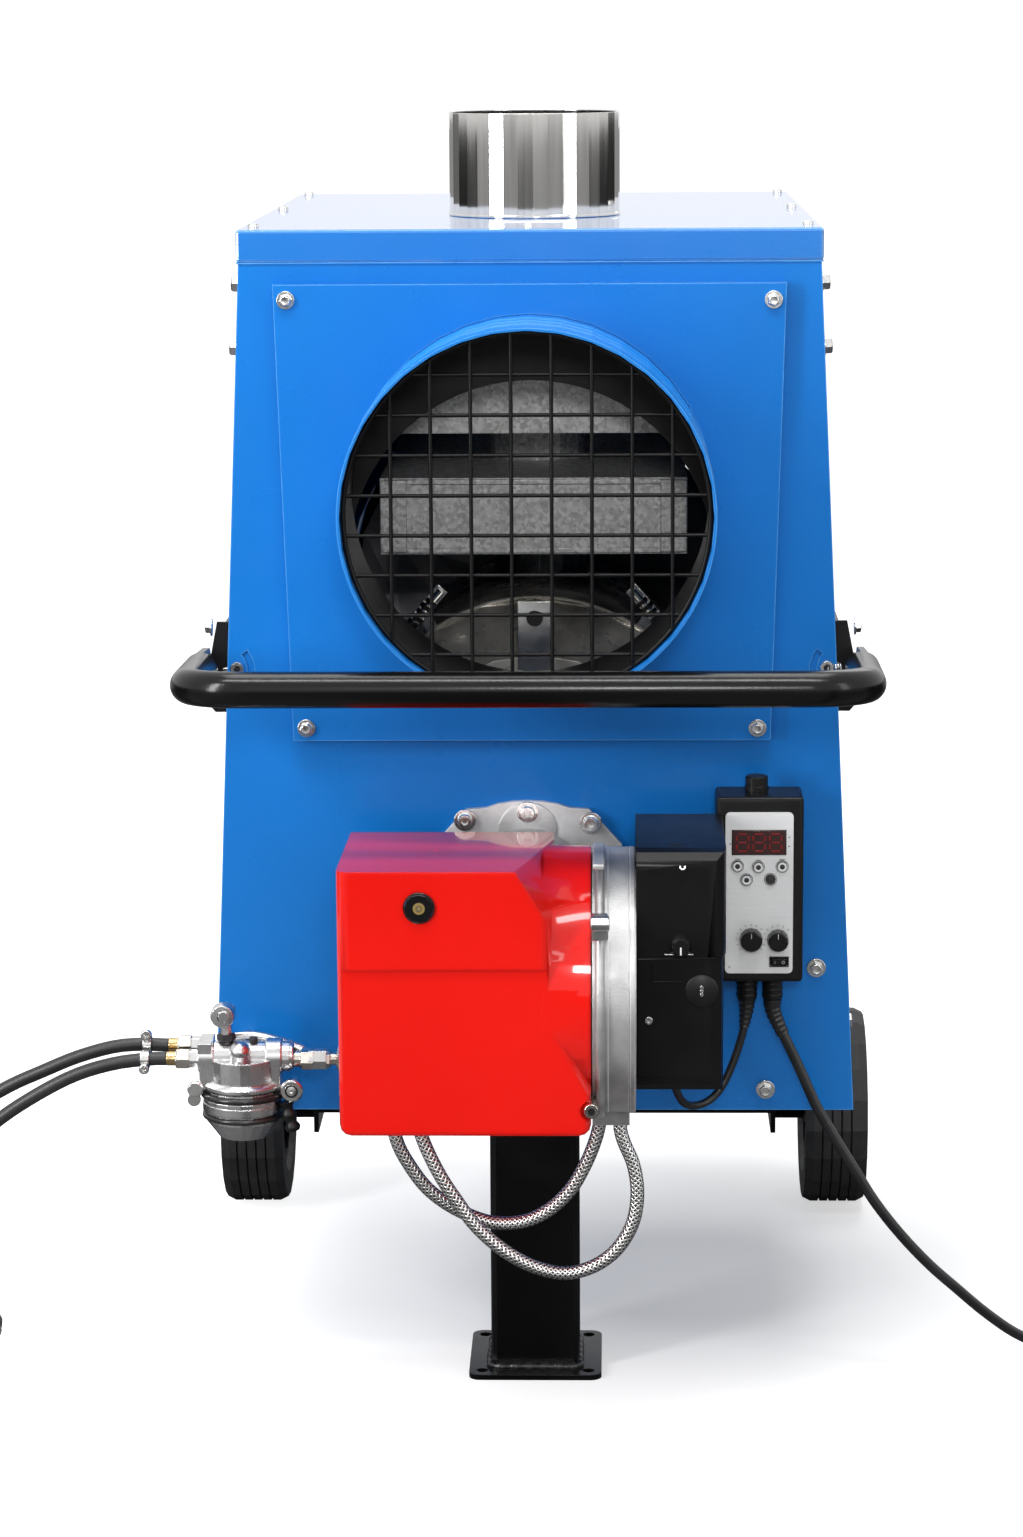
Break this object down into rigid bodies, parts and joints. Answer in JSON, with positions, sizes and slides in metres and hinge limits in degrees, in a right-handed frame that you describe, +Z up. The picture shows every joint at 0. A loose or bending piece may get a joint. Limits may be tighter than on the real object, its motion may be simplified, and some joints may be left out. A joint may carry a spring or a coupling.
{
  "type": "mobile oil furnace",
  "caption": "Mobile oil-fired air heater: sheet cabinet on a leg and wheels, oil burner in front, duct collar with grille, flue, tube handle, filter and hoses.",
  "frame": {"origin": "centre of the footprint at ground level, measured without the free cord, hoses, coils and what is on their ends", "axes": "+Z up, -Y towards the front with the burner and the duct collar, +X to the right seen from the front"},
  "size_m": [1.2609, 0.9548, 1.124],
  "materials": {
    "blue_sheet": "smooth powder coat, satin",
    "black_steel": "gloss black",
    "black_bracket": "matte black",
    "red_cover": "gloss",
    "black_plastic": "matte",
    "black_gloss_plastic": "gloss",
    "silver_plastic": "satin silver",
    "cast_aluminium": "as cast",
    "galvanised_steel": "zinc coated",
    "stainless_steel": "bright",
    "dark_steel": "heat resisting, dark",
    "wire_steel": "bright wire",
    "steel_motor": "cast",
    "steel_braid": "rubber hose under a steel braid",
    "black_rubber": "matte",
    "tyre_rubber": "matte",
    "brass_fitting": "machined"
  },
  "bodies": {
    "heater": {"front_panel": "blue_sheet", "side_panel_left": "blue_sheet", "side_panel_right": "blue_sheet", "floor_pan": "blue_sheet", "rear_panel": "blue_sheet", "lid": "blue_sheet", "duct_plate": "blue_sheet", "duct_spigot": "blue_sheet", "outlet_grille": "wire_steel", "air_baffle": "black_bracket", "flue_pipe": "stainless_steel", "combustion_chamber": "dark_steel", "heat_exchanger": "galvanised_steel", "smoke_box": "galvanised_steel", "fan_guard": "black_steel", "fan_motor": "steel_motor", "front_leg": "black_steel", "axle_frame": "black_steel", "handle_bracket_left": "black_bracket", "handle_bracket_right": "black_bracket", "burner_flange": "cast_aluminium", "blast_tube": "stainless_steel", "burner_housing": "cast_aluminium", "burner_cover": "red_cover", "intake_cover": "black_plastic", "burner_motor": "black_plastic", "control_box": "black_plastic", "control_faceplate": "silver_plastic", "filter_head": "cast_aluminium", "filter_bowl": "cast_aluminium", "mains_cord": "black_rubber", "mains_coil": "black_rubber", "mains_plug": "black_plastic", "supply_hose": "black_rubber", "supply_coil": "black_rubber", "supply_fitting": "brass_fitting", "return_hose": "black_rubber", "return_coil": "black_rubber", "return_fitting": "brass_fitting", "braided_hose_inner": "steel_braid", "braided_hose_outer": "steel_braid", "burner_lead": "black_rubber"},
    "handle": {"handle_bar": "black_steel"},
    "left_wheel": {"tyre_left": "tyre_rubber", "wheel_rim_left": "black_plastic"},
    "right_wheel": {"tyre_right": "tyre_rubber", "wheel_rim_right": "black_plastic"},
    "main_fan": {"fan_impeller": "galvanised_steel"},
    "drum_fan": {"burner_fan": "galvanised_steel"},
    "reset_key": {"reset_button": "black_gloss_plastic"},
    "key_1": {"push_button_1": "silver_plastic"},
    "key_2": {"push_button_2": "silver_plastic"},
    "key_3": {"push_button_3": "silver_plastic"},
    "key_4": {"push_button_4": "silver_plastic"},
    "key_5": {"push_button_5": "black_gloss_plastic"},
    "thermostat_dial": {"thermostat_knob": "black_plastic"},
    "mode_dial": {"mode_knob": "black_plastic"},
    "rocker": {"power_switch": "black_gloss_plastic"},
    "air_damper": {"damper_knob": "black_plastic"},
    "cock": {"filter_valve": "stainless_steel"}
  },
  "joints": [
    {"name": "handle_tilt", "type": "hinge", "parent": "heater", "child": "handle", "pos_m": [0, -0.18665, 0.648], "axis": [-1, 0, 0], "range_deg": [0, 12]},
    {"name": "left_wheel_spin", "type": "hinge", "parent": "heater", "child": "left_wheel", "pos_m": [-0.29765, 0.30935, 0.1], "axis": [1, 0, 0], "continuous": true},
    {"name": "right_wheel_spin", "type": "hinge", "parent": "heater", "child": "right_wheel", "pos_m": [0.29765, 0.30935, 0.1], "axis": [1, 0, 0], "continuous": true},
    {"name": "main_fan_spin", "type": "hinge", "parent": "heater", "child": "main_fan", "pos_m": [0, 0.3439, 0.64], "axis": [0, 1, 0], "continuous": true},
    {"name": "drum_fan_spin", "type": "hinge", "parent": "heater", "child": "drum_fan", "pos_m": [0.0735, -0.35115, 0.402], "axis": [1, 0, 0], "continuous": true},
    {"name": "reset_press", "type": "slide", "parent": "heater", "child": "reset_key", "axis": [0, 1, 0], "range_m": [0, 0.002], "stiffness_N_per_m": 300, "springref_m": -0.001},
    {"name": "key_1_press", "type": "slide", "parent": "heater", "child": "key_1", "axis": [0, 1, 0], "range_m": [0, 0.0015], "stiffness_N_per_m": 200, "springref_m": -0.001},
    {"name": "key_2_press", "type": "slide", "parent": "heater", "child": "key_2", "axis": [0, 1, 0], "range_m": [0, 0.0015], "stiffness_N_per_m": 200, "springref_m": -0.001},
    {"name": "key_3_press", "type": "slide", "parent": "heater", "child": "key_3", "axis": [0, 1, 0], "range_m": [0, 0.0015], "stiffness_N_per_m": 200, "springref_m": -0.001},
    {"name": "key_4_press", "type": "slide", "parent": "heater", "child": "key_4", "axis": [0, 1, 0], "range_m": [0, 0.0015], "stiffness_N_per_m": 200, "springref_m": -0.001},
    {"name": "key_5_press", "type": "slide", "parent": "heater", "child": "key_5", "axis": [0, 1, 0], "range_m": [0, 0.0015], "stiffness_N_per_m": 200, "springref_m": -0.001},
    {"name": "thermostat_turn", "type": "hinge", "parent": "heater", "child": "thermostat_dial", "pos_m": [0.19104, -0.2788, 0.41929], "axis": [0, 1, 0], "range_deg": [0, 270]},
    {"name": "mode_turn", "type": "hinge", "parent": "heater", "child": "mode_dial", "pos_m": [0.21428, -0.2788, 0.41886], "axis": [0, 1, 0], "range_deg": [-45, 45]},
    {"name": "rocker_tip", "type": "hinge", "parent": "heater", "child": "rocker", "pos_m": [0.21552, -0.27695, 0.39907], "axis": [0, 0, 1], "range_deg": [0, 12]},
    {"name": "damper_turn", "type": "hinge", "parent": "heater", "child": "air_damper", "pos_m": [0.127, -0.43195, 0.451], "axis": [0, 1, 0], "range_deg": [0, 90]},
    {"name": "cock_turn", "type": "hinge", "parent": "heater", "child": "cock", "pos_m": [-0.268, -0.28665, 0.33], "axis": [0, 0, 1], "range_deg": [0, 90]}
  ]
}
